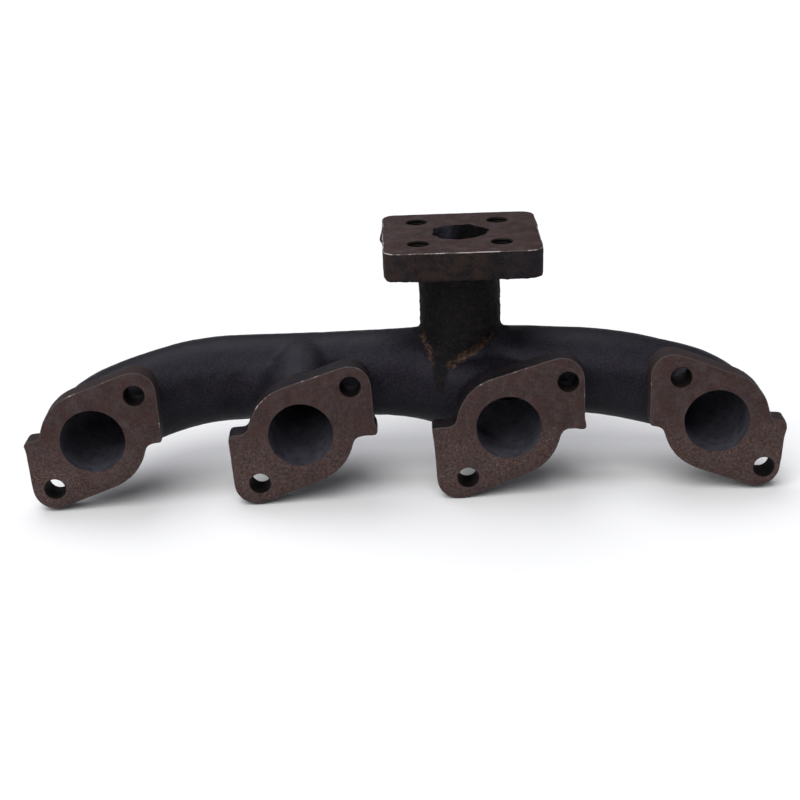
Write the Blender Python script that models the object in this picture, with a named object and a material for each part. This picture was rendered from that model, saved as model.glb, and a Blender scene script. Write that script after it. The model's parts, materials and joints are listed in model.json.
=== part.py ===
"""Exhaust manifold of a four-cylinder turbo-diesel: one grey-iron casting.

Four round ports in a row open towards -Y, each in its own two-bolt flange. Their
runners join one log that lies behind them, and a riser carries the square turbo
flange above it. The shape is built as a foundry makes it: the outside is one
pattern, a sand core leaves the gas passage, and a machine then faces and drills it.

Frame: X runs along the row of ports, Y = 0 is the joint with the cylinder head,
Z is up, and the origin is the middle of the row of port centres.
"""

import math
from typing import NamedTuple

import bmesh
import bpy
from mathutils import Vector

MM = 0.001

# Head side
PORT_COUNT = 4
PORT_PITCH = 92 * MM
PORT_BORE = 29 * MM
PORT_LAND_WIDTH = 9 * MM          # flat ring of flange around each port
PORT_FLANGE_THICKNESS = 13 * MM
LOBE_RADIUS = 9.8 * MM            # cast boss around each bolt hole
BOLT_HOLE = 9 * MM                # clearance for an M8 stud

# Gas passage and walls
WALL = 5.15 * MM
LOG_SETBACK = 45.5 * MM           # from the head joint back to the log's axis
LOG_RISE = 12 * MM                # from the port centres up to the log's axis
RISE_RUN = 87 * MM                # length of runner over which it climbs to the log
BEND_INSIDE = 2.35 * MM           # radius of the skin on the inside of the first bends

# Turn of the first bend behind each port, towards the middle of the row
END_TURN_LEFT = 62
END_TURN_RIGHT = 79
RUNNER_3_TURN = 50

# Turbo side
RISER_OFFSET = 27 * MM            # from the middle of the row to the riser's axis
RISER_BORE = 26 * MM
RISER_WALL = 5.4 * MM
TURBO_FACE_HEIGHT = 78 * MM       # from the port centres up to the turbo joint
TURBO_FLANGE_LENGTH = 70.2 * MM
TURBO_FLANGE_DEPTH = 67.3 * MM
TURBO_FLANGE_SHIFT = Vector((0.9, -0.9, 0)) * MM   # from the riser's axis to its middle
TURBO_FLANGE_THICKNESS = 13.2 * MM
TURBO_FLANGE_CORNER = 6 * MM
TURBO_STUD_SQUARE = 37 * MM
TURBO_STUD_HOLE = 9 * MM          # tapped for an M10 stud

# How finely the round shapes are divided, and how far a cutter passes its face
PIPE_SIDES = 28
CORE_SIDES = 24
HOLE_SIDES = 20
RISER_SIDES = 36
ARC_STEP = 15                     # degrees
BEND_STEPS = 7
SWEEP_STEPS = 10
CROWN_STEPS = 4
OVERCUT = 3 * MM
LAP = 5 * MM                      # where a pipe starts to bend inside its flange
SQUARE_START = 3 * MM             # straight length before that, square to the joint


class PortFlange(NamedTuple):
    """One port flange, in millimetres right of and above its port centre.

    A lobe is the round boss of one bolt. A shelf is the outer end of the flat step
    where the lobe's straight side stops, level with the port.
    """

    upper_lobe: tuple
    upper_shelf: tuple
    upper_hole: tuple
    lower_lobe: tuple
    lower_shelf: tuple
    lower_hole: tuple


# The bosses are cast and the holes are drilled to the head, so they do not quite agree.
PORT_FLANGES = (
    PortFlange((19.9, 22.0), (30.6, -1.5), (19.9, 21.0),
               (-18.8, -21.6), (-30.2, 1.0), (-18.6, -21.9)),
    PortFlange((22.0, 21.6), (32.6, -1.3), (22.6, 21.9),
               (-21.0, -22.6), (-32.5, 0.8), (-19.2, -22.4)),
    PortFlange((23.7, 22.0), (33.6, -1.2), (26.2, 20.9),
               (-22.4, -23.2), (-33.5, 0.3), (-18.4, -22.8)),
    PortFlange((-19.8, 22.2), (-29.8, -1.3), (-16.3, 21.2),
               (18.9, -21.8), (31.0, -0.4), (21.4, -22.4)),
)


def outside_radius():
    """Radius of the outside of the runners and the log."""
    return PORT_BORE / 2 + WALL


def port_x(index):
    """X of a port's centre, counted from the left."""
    return (index - (PORT_COUNT - 1) / 2) * PORT_PITCH


# ---------------------------------------------------------------- flange outlines

def arc(centre, radius, start, end):
    """Points on a circle from one angle to another, in degrees."""
    steps = max(1, math.ceil(abs(end - start) / ARC_STEP))
    angles = [math.radians(start + (end - start) * i / steps) for i in range(steps + 1)]
    return [centre + Vector((math.cos(a), math.sin(a))) * radius for a in angles]


def lobe_side(lobe, shelf, land_radius):
    """Half a flange: step out at the shelf, up the side, and round the lobe.

    The lobe lies up and to the right. Returns the points and the angle at which the
    straight upper edge then touches the round land.
    """
    inner = Vector((math.sqrt(land_radius ** 2 - shelf.y ** 2), shelf.y))
    to_lobe = lobe - shelf
    heading = math.degrees(math.atan2(to_lobe.y, to_lobe.x)
                           - math.asin(LOBE_RADIUS / to_lobe.length))
    edge_normal = math.degrees(math.atan2(lobe.y, lobe.x)
                               + math.acos((land_radius - LOBE_RADIUS) / lobe.length))
    points = [inner, shelf] + arc(lobe, LOBE_RADIUS, heading - 90, edge_normal)
    return points, edge_normal


def flange_outline(flange):
    """The closed outline of one port flange around its port centre, as (x, z)."""
    hand = 1 if flange.upper_lobe[0] > 0 else -1
    land_radius = PORT_BORE / 2 + PORT_LAND_WIDTH
    halves = []
    for lobe, shelf, turn in ((flange.upper_lobe, flange.upper_shelf, 1),
                              (flange.lower_lobe, flange.lower_shelf, -1)):
        flip = Vector((hand * turn * MM, turn * MM))
        points, edge_normal = lobe_side(Vector(lobe) * flip, Vector(shelf) * flip, land_radius)
        halves.append((points, edge_normal))

    outline = []
    for half, (points, edge_normal) in enumerate(halves):
        next_inner = -halves[1 - half][0][0]
        land_end = math.degrees(math.atan2(next_inner.y, next_inner.x)) % 360
        land = arc(Vector((0, 0)), land_radius, edge_normal, land_end)
        turn = 1 if half == 0 else -1
        outline += [p * turn for p in points + land[:-1]]
    outline = [Vector((p.x * hand, p.y)) for p in outline]
    return outline if hand > 0 else outline[::-1]


def rounded_rectangle(length, depth, corner):
    """Closed outline of a rectangle with round corners, around its middle."""
    outline = []
    for quarter, (sx, sy) in enumerate(((1, 1), (-1, 1), (-1, -1), (1, -1))):
        centre = Vector((sx * (length / 2 - corner), sy * (depth / 2 - corner)))
        outline += arc(centre, corner, quarter * 90, quarter * 90 + 90)
    return outline


# ---------------------------------------------------------------- gas path

def plan_route(turn, start):
    """Route of a runner in plan, as (run, setback) from its port towards the middle.

    It leaves the port square, bends through the given turn, and then sweeps gently
    round until it lies along the log. With no turn it goes straight back to the log.
    """
    if not turn:
        span = LOG_SETBACK - start
        return [Vector((0, start + span * i / SWEEP_STEPS)) for i in range(SWEEP_STEPS + 1)]
    bend = math.radians(turn)
    bend_radius = outside_radius() + BEND_INSIDE
    room = LOG_SETBACK - PORT_FLANGE_THICKNESS
    sweep_radius = (room - bend_radius * math.sin(bend)) / (1 - math.sin(bend))
    route = [Vector((0, start))]
    for i in range(BEND_STEPS + 1):
        a = bend * i / BEND_STEPS
        route.append(Vector((bend_radius * (1 - math.cos(a)),
                             PORT_FLANGE_THICKNESS + bend_radius * math.sin(a))))
    knee = route[-1]
    for i in range(1, SWEEP_STEPS + 1):
        a = bend + (math.pi / 2 - bend) * i / SWEEP_STEPS
        route.append(knee + Vector((sweep_radius * (math.cos(bend) - math.cos(a)),
                                    sweep_radius * (math.sin(a) - math.sin(bend)))))
    return route


def runner_route(index, turn, start):
    """A runner's axis from its port to the log, climbing smoothly on the way."""
    plan = plan_route(turn, start)
    towards_middle = 1 if port_x(index) < 0 else -1
    climb_length = RISE_RUN if turn else LOG_SETBACK
    route = []
    travelled = start
    for i, point in enumerate(plan):
        if i:
            travelled += (point - plan[i - 1]).length
        share = min(max(travelled / climb_length, 0), 1)
        climb = LOG_RISE * share * share * (3 - 2 * share)
        route.append(Vector((port_x(index) + towards_middle * point.x, point.y, climb)))
    square_start = route[0] - Vector((0, SQUARE_START, 0))
    return [square_start] + route


def log_route(start):
    """The log's axis: from the left end port along the row to the right end port."""
    left = runner_route(0, END_TURN_LEFT, start)
    right = runner_route(PORT_COUNT - 1, END_TURN_RIGHT, start)[::-1]
    crown = [left[-1].lerp(right[0], i / CROWN_STEPS) for i in range(1, CROWN_STEPS)]
    return left + crown + right


# ---------------------------------------------------------------- solids

def new_object(name, mesh):
    obj = bpy.data.objects.new(name, mesh)
    bpy.context.scene.collection.objects.link(obj)
    return obj


def object_from(name, bm):
    bmesh.ops.recalc_face_normals(bm, faces=bm.faces)
    mesh = bpy.data.meshes.new(name)
    bm.to_mesh(mesh)
    bm.free()
    return new_object(name, mesh)


def pipe(name, route, diameter, sides):
    """A round bar swept along a route, closed at both ends."""
    curve = bpy.data.curves.new(name, "CURVE")
    curve.dimensions = "3D"
    curve.twist_mode = "Z_UP"
    curve.bevel_depth = diameter / 2
    curve.bevel_resolution = (sides - 4) // 2
    curve.use_fill_caps = True
    spline = curve.splines.new("POLY")
    spline.points.add(len(route) - 1)
    for point, place in zip(spline.points, route):
        point.co = (*place, 1)
    carrier = bpy.data.objects.new(name, curve)
    mesh = bpy.data.meshes.new_from_object(carrier)
    bpy.data.objects.remove(carrier)
    bpy.data.curves.remove(curve)
    bm = bmesh.new()
    bm.from_mesh(mesh)
    bpy.data.meshes.remove(mesh)
    bmesh.ops.remove_doubles(bm, verts=bm.verts, dist=0.001 * MM)
    return object_from(name, bm)


def plate(name, outline, origin, across, up, thickness):
    """A flat plate: an outline in the plane of two directions, made thick along the third."""
    bm = bmesh.new()
    face = bm.faces.new([bm.verts.new(origin + across * p.x + up * p.y) for p in outline])
    grown = bmesh.ops.extrude_face_region(bm, geom=[face])
    moved = [v for v in grown["geom"] if isinstance(v, bmesh.types.BMVert)]
    bmesh.ops.translate(bm, verts=moved, vec=thickness)
    return object_from(name, bm)


def bar(name, ends, diameter, sides):
    """A straight round bar between two points."""
    first, last = ends
    axis = last - first
    bm = bmesh.new()
    bmesh.ops.create_cone(bm, cap_ends=True, segments=sides, radius1=diameter / 2,
                          radius2=diameter / 2, depth=axis.length)
    bmesh.ops.rotate(bm, verts=bm.verts, matrix=axis.to_track_quat("Z", "Y").to_matrix())
    bmesh.ops.translate(bm, verts=bm.verts, vec=(first + last) / 2)
    return object_from(name, bm)


def boolean(target, tool, operation):
    """Join a shape to the casting or cut it out, and keep the shape as a hidden guide."""
    step = target.modifiers.new(tool.name, "BOOLEAN")
    step.operation = operation
    step.object = tool
    tool.hide_render = True
    tool.display_type = "WIRE"


# ---------------------------------------------------------------- the pattern

def port_flange(index):
    outline = flange_outline(PORT_FLANGES[index])
    return plate(f"pattern_port_flange_{index + 1}", outline, Vector((port_x(index), 0, 0)),
                 Vector((1, 0, 0)), Vector((0, 0, 1)), Vector((0, PORT_FLANGE_THICKNESS, 0)))


def turbo_flange():
    outline = rounded_rectangle(TURBO_FLANGE_LENGTH, TURBO_FLANGE_DEPTH, TURBO_FLANGE_CORNER)
    top = Vector((RISER_OFFSET, LOG_SETBACK, TURBO_FACE_HEIGHT)) + TURBO_FLANGE_SHIFT
    return plate("pattern_turbo_flange", outline, top, Vector((1, 0, 0)), Vector((0, 1, 0)),
                 Vector((0, 0, -TURBO_FLANGE_THICKNESS)))


def riser_ends(top):
    """The riser's axis, from the middle of the log up to a given height."""
    return (Vector((RISER_OFFSET, LOG_SETBACK, LOG_RISE)),
            Vector((RISER_OFFSET, LOG_SETBACK, top)))


def pattern_shapes():
    """Everything that is joined to the log to make the outside of the casting."""
    outside = 2 * outside_radius()
    riser_top = TURBO_FACE_HEIGHT - TURBO_FLANGE_THICKNESS / 2
    yield pipe("pattern_runner_2", runner_route(1, 0, LAP), outside, PIPE_SIDES)
    yield pipe("pattern_runner_3", runner_route(2, RUNNER_3_TURN, LAP), outside, PIPE_SIDES)
    yield bar("pattern_riser", riser_ends(riser_top), RISER_BORE + 2 * RISER_WALL, RISER_SIDES)
    yield turbo_flange()
    for index in range(PORT_COUNT):
        yield port_flange(index)


# ---------------------------------------------------------------- core and machining

def core_shapes():
    """The sand core that leaves the gas passage."""
    yield pipe("core_log", log_route(-OVERCUT), PORT_BORE, CORE_SIDES)
    yield pipe("core_runner_2", runner_route(1, 0, -OVERCUT), PORT_BORE, CORE_SIDES)
    yield pipe("core_runner_3", runner_route(2, RUNNER_3_TURN, -OVERCUT), PORT_BORE, CORE_SIDES)
    yield bar("core_riser", riser_ends(TURBO_FACE_HEIGHT + OVERCUT), RISER_BORE, CORE_SIDES)


def drilled_holes():
    """The bolt holes of the port flanges and the tapped holes of the turbo flange."""
    for index, flange in enumerate(PORT_FLANGES):
        for level, hole in (("upper", flange.upper_hole), ("lower", flange.lower_hole)):
            x = port_x(index) + hole[0] * MM
            z = hole[1] * MM
            ends = (Vector((x, -OVERCUT, z)), Vector((x, PORT_FLANGE_THICKNESS + OVERCUT, z)))
            yield bar(f"drill_{level}_{index + 1}", ends, BOLT_HOLE, HOLE_SIDES)
    for corner, (sx, sy) in enumerate(((-1, -1), (1, -1), (-1, 1), (1, 1))):
        x = RISER_OFFSET + sx * TURBO_STUD_SQUARE / 2
        y = LOG_SETBACK + sy * TURBO_STUD_SQUARE / 2
        under = TURBO_FACE_HEIGHT - TURBO_FLANGE_THICKNESS - OVERCUT
        ends = (Vector((x, y, under)), Vector((x, y, TURBO_FACE_HEIGHT + OVERCUT)))
        yield bar(f"drill_turbo_{corner + 1}", ends, TURBO_STUD_HOLE, HOLE_SIDES)


def cast_iron():
    """Grey iron with a dark scale of heat and rust."""
    material = bpy.data.materials.new("cast_iron")
    material.use_nodes = True
    shader = material.node_tree.nodes["Principled BSDF"]
    shader.inputs["Base Color"].default_value = (0.045, 0.036, 0.033, 1)
    shader.inputs["Roughness"].default_value = 0.62
    shader.inputs["Metallic"].default_value = 0.55
    return material


def manifold_casting():
    casting = pipe("manifold_casting", log_route(LAP), 2 * outside_radius(), PIPE_SIDES)
    casting.data.materials.append(cast_iron())
    for shape in pattern_shapes():
        boolean(casting, shape, "UNION")
    for shape in core_shapes():
        boolean(casting, shape, "DIFFERENCE")
    for hole in drilled_holes():
        boolean(casting, hole, "DIFFERENCE")
    casting.data.shade_smooth()
    casting.data.set_sharp_from_angle(angle=math.radians(35))
    return casting


for leftover in list(bpy.data.objects):
    bpy.data.objects.remove(leftover)
manifold_casting()
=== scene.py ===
# %% [markdown]
# # A cast-iron exhaust manifold
# On an engine this part gathers the hot gas of four cylinders and leads it up to the turbo.
# It is one sand casting: four port flanges, their runners, one long log, a riser and a square
# flange on top. This lesson makes it in the foundry's order. The pattern is put together from
# simple shapes, its corners get the radii that sand needs, the skin gets its grain, the joint
# faces are cut flat, a core leaves the gas passage, and drills make the bolt holes.
#
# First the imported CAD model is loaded. It is the fixed frame that everything else is placed by.

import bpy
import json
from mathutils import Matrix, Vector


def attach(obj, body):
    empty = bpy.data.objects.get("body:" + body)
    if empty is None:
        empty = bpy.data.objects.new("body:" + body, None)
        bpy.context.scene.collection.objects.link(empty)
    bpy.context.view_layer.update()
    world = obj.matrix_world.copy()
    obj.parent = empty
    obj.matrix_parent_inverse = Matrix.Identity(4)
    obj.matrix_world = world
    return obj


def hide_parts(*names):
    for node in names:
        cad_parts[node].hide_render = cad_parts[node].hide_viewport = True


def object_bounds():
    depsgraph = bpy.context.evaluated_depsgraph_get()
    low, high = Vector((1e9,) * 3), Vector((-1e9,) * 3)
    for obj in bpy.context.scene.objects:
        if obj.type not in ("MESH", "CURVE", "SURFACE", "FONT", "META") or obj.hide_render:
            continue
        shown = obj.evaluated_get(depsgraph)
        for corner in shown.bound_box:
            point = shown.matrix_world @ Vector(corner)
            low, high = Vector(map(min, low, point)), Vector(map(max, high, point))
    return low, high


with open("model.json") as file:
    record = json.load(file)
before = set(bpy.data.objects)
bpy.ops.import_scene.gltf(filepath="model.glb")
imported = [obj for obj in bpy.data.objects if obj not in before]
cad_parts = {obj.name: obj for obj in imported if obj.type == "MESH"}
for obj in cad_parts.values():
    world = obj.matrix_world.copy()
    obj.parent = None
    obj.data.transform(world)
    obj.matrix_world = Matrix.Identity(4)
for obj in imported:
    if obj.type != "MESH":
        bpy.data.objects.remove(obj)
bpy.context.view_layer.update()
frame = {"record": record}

# %% Tools and units
import json
import math

import bmesh
import bpy
from mathutils import Matrix, Vector, noise

MM = 0.001


def say(what, *values):
    """Print one line on what a cell made or measured."""
    print("-", what, *[round(v, 2) if isinstance(v, float) else v for v in values])


say("lengths are in metres, and a millimetre is one metre over", round(1 / MM))

# %% [markdown]
# ## Where things are
# The record that comes with the frame names the joint faces and the holes, each with its place.
# Reading places from it, rather than typing them again, keeps the visual model on the CAD model.

# %% Places from the record
record = frame["record"]
faces_at = {m["name"]: Vector(m["pos_m"]) for m in record["mounts"]}
rooms = {o["name"]: o["box_m"] for o in record["physics"]["openings"]}


def middle(room):
    """Middle of one of the record's openings."""
    low, high = rooms[room]
    return (Vector(low) + Vector(high)) / 2


PORTS = (1, 2, 3, 4)
port_at = {n: Vector((faces_at[f"port_face_{n}"].x, 0, 0)) for n in PORTS}
riser_at = middle("riser")
turbo_top = faces_at["turbo_face"].z
say("ports at X in mm", *[port_at[n].x / MM for n in PORTS])
say("riser at X, Y in mm", riser_at.x / MM, riser_at.y / MM, "turbo face at Z", turbo_top / MM)

# %% [markdown]
# ## The gas path
# Each runner leaves its port square, turns towards the middle, and sweeps round until it lies
# along the log, climbing gently on the way. The second runner goes straight back. A curve object
# could make such a pipe, but a list of points along its middle is enough: the same route
# carries the outside of the pipe now and the core later, so the wall is even.

# %% Sizes of the gas path
PORT_BORE = 29 * MM
WALL = 5.15 * MM
PIPE_RADIUS = PORT_BORE / 2 + WALL
FLANGE_THICK = 13 * MM
LOG_SETBACK = 45.5 * MM
LOG_RISE = 12 * MM
RISE_RUN = 87 * MM
BEND_RADIUS = PIPE_RADIUS + 2.35 * MM
END_TURN = {1: 62, 4: 79}
RUNNER_3_TURN = 50
BEND_STEPS = 10
SWEEP_STEPS = 18
PIPE_START = 5 * MM      # behind the joint face
CORE_START = -6 * MM     # in front of it, so that the bore is cut right through
SQUARE_START = 3 * MM
LOG_STEPS = 12
say("outside radius of a pipe in mm", PIPE_RADIUS / MM)


# %% Routes of the runners and the log
def plan_route(turn, start):
    """Route in plan as (along the row, back from the joint), before it climbs."""
    if not turn:
        return [Vector((0, start + (LOG_SETBACK - start) * i / SWEEP_STEPS))
                for i in range(SWEEP_STEPS + 1)]
    bend = math.radians(turn)
    room = LOG_SETBACK - FLANGE_THICK
    sweep = (room - BEND_RADIUS * math.sin(bend)) / (1 - math.sin(bend))
    route = [Vector((0, start))]
    for i in range(BEND_STEPS + 1):
        a = bend * i / BEND_STEPS
        route.append(Vector((BEND_RADIUS * (1 - math.cos(a)),
                             FLANGE_THICK + BEND_RADIUS * math.sin(a))))
    knee = route[-1]
    for i in range(1, SWEEP_STEPS + 1):
        a = bend + (math.pi / 2 - bend) * i / SWEEP_STEPS
        route.append(knee + Vector((sweep * (math.cos(bend) - math.cos(a)),
                                    sweep * (math.sin(a) - math.sin(bend)))))
    return route


def runner_route(port, turn, start):
    """Points along the middle of a runner, from its port to the log."""
    plan = plan_route(turn, start)
    hand = 1 if port_at[port].x < 0 else -1
    length = RISE_RUN if turn else LOG_SETBACK
    travelled = start
    route = []
    for i, point in enumerate(plan):
        if i:
            travelled += (point - plan[i - 1]).length
        share = min(max(travelled / length, 0), 1)
        climb = LOG_RISE * share * share * (3 - 2 * share)
        route.append(Vector((port_at[port].x + hand * point.x, point.y, climb)))
    return [route[0] - Vector((0, SQUARE_START, 0))] + route


def log_route(start):
    """The log with both end runners, as one route from the first port to the last."""
    left = runner_route(1, END_TURN[1], start)
    right = runner_route(4, END_TURN[4], start)[::-1]
    middle_part = [left[-1].lerp(right[0], i / LOG_STEPS) for i in range(1, LOG_STEPS)]
    return left + middle_part + right


def route_length(route):
    """Length of a route in metres."""
    return sum((b - a).length for a, b in zip(route, route[1:]))


say("log with its end runners is long, in mm", route_length(log_route(0)) / MM)

# %% [markdown]
# ## The pattern
# A foundry's pattern is made a little large where the casting will be machined, so the port
# flanges start 4 mm in front of the joint and the turbo flange ends 4 mm above its face. The
# shapes only have to overlap: they are fused into one skin in the next step. A pipe is a circle
# that is extruded from station to station. A flange could be drawn as an outline and extruded,
# but a hull round discs gives its straight sides and round lobes without working them out: each
# half is the hull of the land round the port, a lobe round the stud hole and a flat shelf's end.

# %% A pipe along a route
ALLOWANCE = 4 * MM


def station(route, i):
    """Matrix that lays a flat circle across the route at one of its points."""
    ahead = route[min(i + 1, len(route) - 1)]
    behind = route[max(i - 1, 0)]
    turn = (ahead - behind).to_track_quat("Z", "Y")
    return Matrix.Translation(route[i]) @ turn.to_matrix().to_4x4()


def sweep_pipe(bm, route, radius, sides):
    """Extrude a circle along a route, closed at both ends. Returns its rings of vertices."""
    made = bmesh.ops.create_circle(bm, cap_ends=True, radius=radius, segments=sides,
                                   matrix=station(route, 0))
    rings = [made["verts"]]
    edges = list({e for v in made["verts"] for e in v.link_edges})
    for i in range(1, len(route)):
        grown = bmesh.ops.extrude_edge_only(bm, edges=edges)["geom"]
        verts = [g for g in grown if isinstance(g, bmesh.types.BMVert)]
        new = set(verts)
        edges = [g for g in grown if isinstance(g, bmesh.types.BMEdge)
                 and g.verts[0] in new and g.verts[1] in new]
        bmesh.ops.transform(bm, verts=verts,
                            matrix=station(route, i) @ station(route, i - 1).inverted())
        rings.append(verts)
    bmesh.ops.contextual_create(bm, geom=edges)
    return rings


pattern = bmesh.new()
PIPE_SIDES = 48
sweep_pipe(pattern, log_route(PIPE_START), PIPE_RADIUS, PIPE_SIDES)
sweep_pipe(pattern, runner_route(2, 0, PIPE_START), PIPE_RADIUS, PIPE_SIDES)
sweep_pipe(pattern, runner_route(3, RUNNER_3_TURN, PIPE_START), PIPE_RADIUS, PIPE_SIDES)
say("pipes have vertices", len(pattern.verts))

# %% Outlines of the port flanges
LAND_RADIUS = PORT_BORE / 2 + 9 * MM
LOBE_RADIUS = 9.8 * MM
DRAFT, DRAFT_DEPTH = 0.012, 17 * MM   # share that a disc narrows by over that depth

# Per port, in mm right of and above its middle: lobe and outer end of its shelf, upper then lower
FLANGE_SHAPE = {
    1: ((19.9, 22.0), (30.6, -1.5), (-18.8, -21.6), (-30.2, 1.0)),
    2: ((22.0, 21.6), (32.6, -1.3), (-21.0, -22.6), (-32.5, 0.8)),
    3: ((23.7, 22.0), (33.6, -1.2), (-22.4, -23.2), (-33.5, 0.3)),
    4: ((-19.8, 22.2), (-29.8, -1.3), (18.9, -21.8), (31.0, -0.4)),
}


def disc(bm, centre, radius, low_y, high_y):
    """A thick disc whose axis runs along Y, with a little draft towards the back."""
    draft = DRAFT * (high_y - low_y) / DRAFT_DEPTH
    turn = Matrix.Rotation(math.radians(-90), 4, "X")
    place = Matrix.Translation((centre.x, (low_y + high_y) / 2, centre.z))
    bmesh.ops.create_cone(bm, cap_ends=True, segments=64, radius1=radius,
                          radius2=radius * (1 - draft), depth=high_y - low_y,
                          matrix=place @ turn)


def add_to(bm, part):
    """Move one bmesh into another."""
    carrier = bpy.data.meshes.new("carrier")
    part.to_mesh(carrier)
    part.free()
    bm.from_mesh(carrier)
    bpy.data.meshes.remove(carrier)


def half_flange(bm, port, lobe, shelf, low_y, high_y):
    """Hull of a lobe, the land on its side of the shelf, and the shelf's outer end."""
    part = bmesh.new()
    centre = port_at[port]
    disc(part, centre, LAND_RADIUS, low_y, high_y)
    up = 1 if lobe[1] > 0 else -1
    shelf_z = shelf[1] * MM
    cut = bmesh.ops.bisect_plane(part, geom=part.verts[:] + part.edges[:] + part.faces[:],
                                 plane_co=(0, 0, shelf_z), plane_no=(0, 0, -up),
                                 clear_outer=True)
    disc(part, centre + Vector((lobe[0], 0, lobe[1])) * MM, LOBE_RADIUS, low_y, high_y)
    for y in (low_y, high_y):
        bmesh.ops.create_vert(part, co=(centre.x + shelf[0] * MM, y, shelf_z))
    bmesh.ops.delete(part, geom=part.edges[:], context="EDGES_FACES")
    hull = bmesh.ops.convex_hull(part, input=part.verts[:])
    spare = [g for g in hull["geom_interior"] + hull["geom_unused"]
             if isinstance(g, bmesh.types.BMVert) and g.is_valid]
    bmesh.ops.delete(part, geom=list(set(spare)), context="VERTS")
    add_to(bm, part)


# %% Add the port flanges
before = len(pattern.verts)
for port, (upper, upper_shelf, lower, lower_shelf) in FLANGE_SHAPE.items():
    disc(pattern, port_at[port], LAND_RADIUS, -ALLOWANCE, FLANGE_THICK)
    half_flange(pattern, port, upper, upper_shelf, -ALLOWANCE, FLANGE_THICK)
    half_flange(pattern, port, lower, lower_shelf, -ALLOWANCE, FLANGE_THICK)
say("port flanges have vertices", len(pattern.verts) - before)

# %% [markdown]
# ## Riser and turbo flange
# The riser is a straight pipe from the middle of the log up to the turbo flange, a thick square
# plate with rounded corners. The plate sits a little off the riser's axis, since the casting's
# outside was never machined to it. A bevelled box is all that such a plate needs.

# %% The riser and the turbo flange
RISER_BORE = 26 * MM
RISER_RADIUS = RISER_BORE / 2 + 5.4 * MM
TURBO_LENGTH, TURBO_DEPTH, TURBO_THICK = 70.2 * MM, 67.3 * MM, 13.2 * MM
TURBO_CORNER = 6 * MM
TURBO_SHIFT = Vector((0.9, -0.9, 0)) * MM   # off the riser's axis


def block(bm, centre, size, turn=0.0):
    """A box of a size in metres, turned about Y by an angle in degrees."""
    place = (Matrix.Translation(centre) @ Matrix.Rotation(math.radians(turn), 4, "Y")
             @ Matrix.Diagonal((*size, 1)))
    return bmesh.ops.create_cube(bm, size=1, matrix=place)["verts"]


riser_foot = Vector((riser_at.x, LOG_SETBACK, LOG_RISE))
riser_head = Vector((riser_at.x, LOG_SETBACK, turbo_top - TURBO_THICK / 2))
sweep_pipe(pattern, [riser_foot, riser_head], RISER_RADIUS, 64)

flange_low, flange_high = turbo_top - TURBO_THICK, turbo_top + ALLOWANCE
flange_middle = Vector((riser_at.x, LOG_SETBACK, (flange_low + flange_high) / 2))
flange_box = block(pattern, flange_middle + TURBO_SHIFT,
                   (TURBO_LENGTH, TURBO_DEPTH, flange_high - flange_low))
upright = [e for e in {e for v in flange_box for e in v.link_edges}
           if abs(e.verts[0].co.z - e.verts[1].co.z) > TURBO_THICK]
bmesh.ops.bevel(pattern, geom=upright, offset=TURBO_CORNER, offset_type="OFFSET", segments=8,
                affect="EDGES", profile=0.5, material=-1)
say("riser stands from Z to Z in mm", riser_foot.z / MM, riser_head.z / MM)

# %% [markdown]
# ## Stubs and flash
# A row of flanges is cast with thin tie bars between them that are knocked off afterwards. They
# leave short ragged stubs on the shelves. Where the two halves of the mould met, a little iron
# ran between them and left nubs of flash on the turbo flange. Small turned blocks do for these,
# since the next step melts them into the skin.

# %% Stubs of the tie bars and nubs of flash
STUBS = (   # port, place from its middle (X, Z), size (X, Y, Z) in mm, turn in degrees
    (2, (32.2, 1.2), (3.6, 15, 3.4), 18),
    (2, (33.0, -0.4), (2.6, 12, 2.2), -30),
    (3, (33.2, -0.7), (3.0, 13, 3.2), 35),
    (3, (-32.6, -1.6), (2.6, 14, 3.6), -8),
    (4, (30.2, -3.2), (2.0, 14, 4.2), -12),
    (1, (-29.6, -0.6), (1.8, 14, 2.6), 20),
)
STUB_MIDDLE = FLANGE_THICK / 2 - 1 * MM
for port, (x, z), size, turn in STUBS:
    block(pattern, port_at[port] + Vector((x * MM, STUB_MIDDLE, z * MM)),
          [s * MM for s in size], turn)

FLASH = (   # place (X from the riser, Y, Z) and size in mm
    ((-34.0, 60.0, 73.0), (2.6, 5.5, 5.0)),
    ((35.6, 60.5, 73.5), (2.4, 6.0, 6.0)),
    ((35.5, 41.0, 68.0), (1.8, 5.0, 3.0)),
)
FLASH_TURN = 20
for (x, y, z), size in FLASH:
    block(pattern, Vector((riser_at.x + x * MM, y * MM, z * MM)), [s * MM for s in size],
          FLASH_TURN)
bmesh.ops.recalc_face_normals(pattern, faces=pattern.faces[:])
say("stubs and nubs", len(STUBS) + len(FLASH))

# %% [markdown]
# ## One skin
# Booleans could join the shapes, but bevels on such crossing pipes tend to break. A voxel remesh
# fuses all the shapes, as pouring does, and leaves an even net of faces just over a millimetre
# wide. Smoothing that net rounds the outer corners by about 2 mm. A second pass works only where
# the net is hollow, such as where a runner meets its flange: that is where a pattern maker runs
# in a fillet so that the iron doesn't crack. A third and longer one makes the broad fillet by
# which the second runner flows into the log.

# %% Fuse the pattern
VOXEL = 1.25 * MM


def object_of(name, bm):
    """Turn a bmesh into a mesh object in the scene."""
    mesh = bpy.data.meshes.new(name)
    bm.to_mesh(mesh)
    bm.free()
    obj = bpy.data.objects.new(name, mesh)
    bpy.context.scene.collection.objects.link(obj)
    return obj


def settle(obj):
    """Apply an object's modifiers and return the result as a new bmesh."""
    bpy.context.view_layer.update()
    shown = obj.evaluated_get(bpy.context.evaluated_depsgraph_get())
    bm = bmesh.new()
    bm.from_mesh(shown.to_mesh())
    shown.to_mesh_clear()
    return bm


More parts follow.
